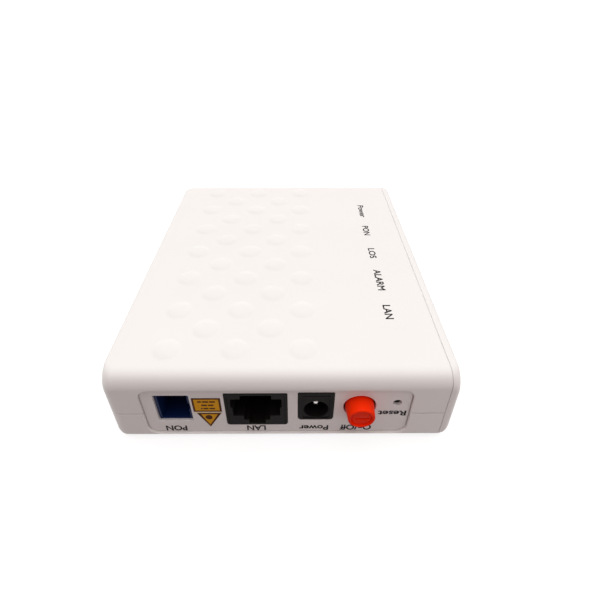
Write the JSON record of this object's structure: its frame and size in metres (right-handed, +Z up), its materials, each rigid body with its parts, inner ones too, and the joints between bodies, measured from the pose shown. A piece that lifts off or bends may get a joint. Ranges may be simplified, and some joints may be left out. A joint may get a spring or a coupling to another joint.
{
  "type": "optical network terminal",
  "caption": "Small flat white fibre network terminal with a dimpled cover, a recessed port panel, a latching power button and a pinhole reset button.",
  "frame": {"origin": "middle of the bounding box at the underside of the rubber feet", "axes": "+Y from the port panel to the back, +Z up through the dimpled cover, +X to the right seen from the ports"},
  "size_m": [0.089, 0.1162, 0.024],
  "materials": {
    "white_plastic": "satin moulded white",
    "panel_plastic": "fine matt moulded white",
    "grey_rubber": "matt",
    "screw_steel": "zinc plated",
    "black_plastic": "satin black",
    "gold_contact": "gold plated",
    "nickel": "nickel plated",
    "blue_plastic": "satin blue",
    "orange_plastic": "satin orange red",
    "zirconia": "smooth",
    "circuit_green": "solder mask",
    "chip_resin": "moulded black resin",
    "plunger_grey": "satin grey",
    "thermal_grey": "soft matt",
    "aluminium": "extruded",
    "capacitor_sleeve": "shrink sleeve",
    "ferrite": "matt",
    "led_resin": "clear yellow-green resin",
    "sticker_yellow": "printed label film"
  },
  "bodies": {
    "case": {"upper_shell": "white_plastic", "lower_shell": "white_plastic", "side_cap": "white_plastic", "connector_panel": "panel_plastic", "rubber_foot_1": "grey_rubber", "rubber_foot_2": "grey_rubber", "rubber_foot_3": "grey_rubber", "rubber_foot_4": "grey_rubber", "case_screw_1": "screw_steel", "case_screw_2": "screw_steel", "case_screw_3": "screw_steel", "case_screw_4": "screw_steel", "board_screw_1": "screw_steel", "board_screw_2": "screw_steel", "lan_jack_housing": "black_plastic", "lan_contact_carrier": "black_plastic", "power_jack_housing": "black_plastic", "light_baffle": "black_plastic", "lan_contact_1": "gold_contact", "lan_contact_2": "gold_contact", "lan_contact_3": "gold_contact", "lan_contact_4": "gold_contact", "lan_contact_5": "gold_contact", "lan_contact_6": "gold_contact", "lan_contact_7": "gold_contact", "lan_contact_8": "gold_contact", "power_jack_pin": "nickel", "power_jack_spring": "nickel", "optical_module_body": "nickel", "laser_can": "nickel", "photodiode_can": "nickel", "reset_switch_body": "nickel", "crystal": "nickel", "pon_receptacle": "blue_plastic", "pon_inner_latch": "zirconia", "pon_ferrule_sleeve": "zirconia", "circuit_board": "circuit_green", "power_switch_body": "chip_resin", "main_chip": "chip_resin", "memory_chip": "chip_resin", "flash_chip": "chip_resin", "lan_transformer": "chip_resin", "thermal_pad": "thermal_grey", "heat_sink": "aluminium", "capacitor_1": "capacitor_sleeve", "capacitor_2": "capacitor_sleeve", "power_inductor": "ferrite", "led_1": "led_resin", "led_2": "led_resin", "led_3": "led_resin", "led_4": "led_resin", "led_5": "led_resin", "port_sticker": "sticker_yellow"},
    "power_button": {"power_button_cap": "orange_plastic", "power_switch_stem": "chip_resin"},
    "reset_button": {"reset_plunger": "plunger_grey"}
  },
  "joints": [
    {"name": "power_button_press", "type": "slide", "parent": "case", "child": "power_button", "axis": [0, 1, 0], "range_m": [0, 0.0022], "stiffness_N_per_m": 300, "springref_m": -0.003},
    {"name": "reset_button_press", "type": "slide", "parent": "case", "child": "reset_button", "axis": [0, 1, 0], "range_m": [0, 0.0003], "stiffness_N_per_m": 400, "springref_m": -0.001}
  ]
}
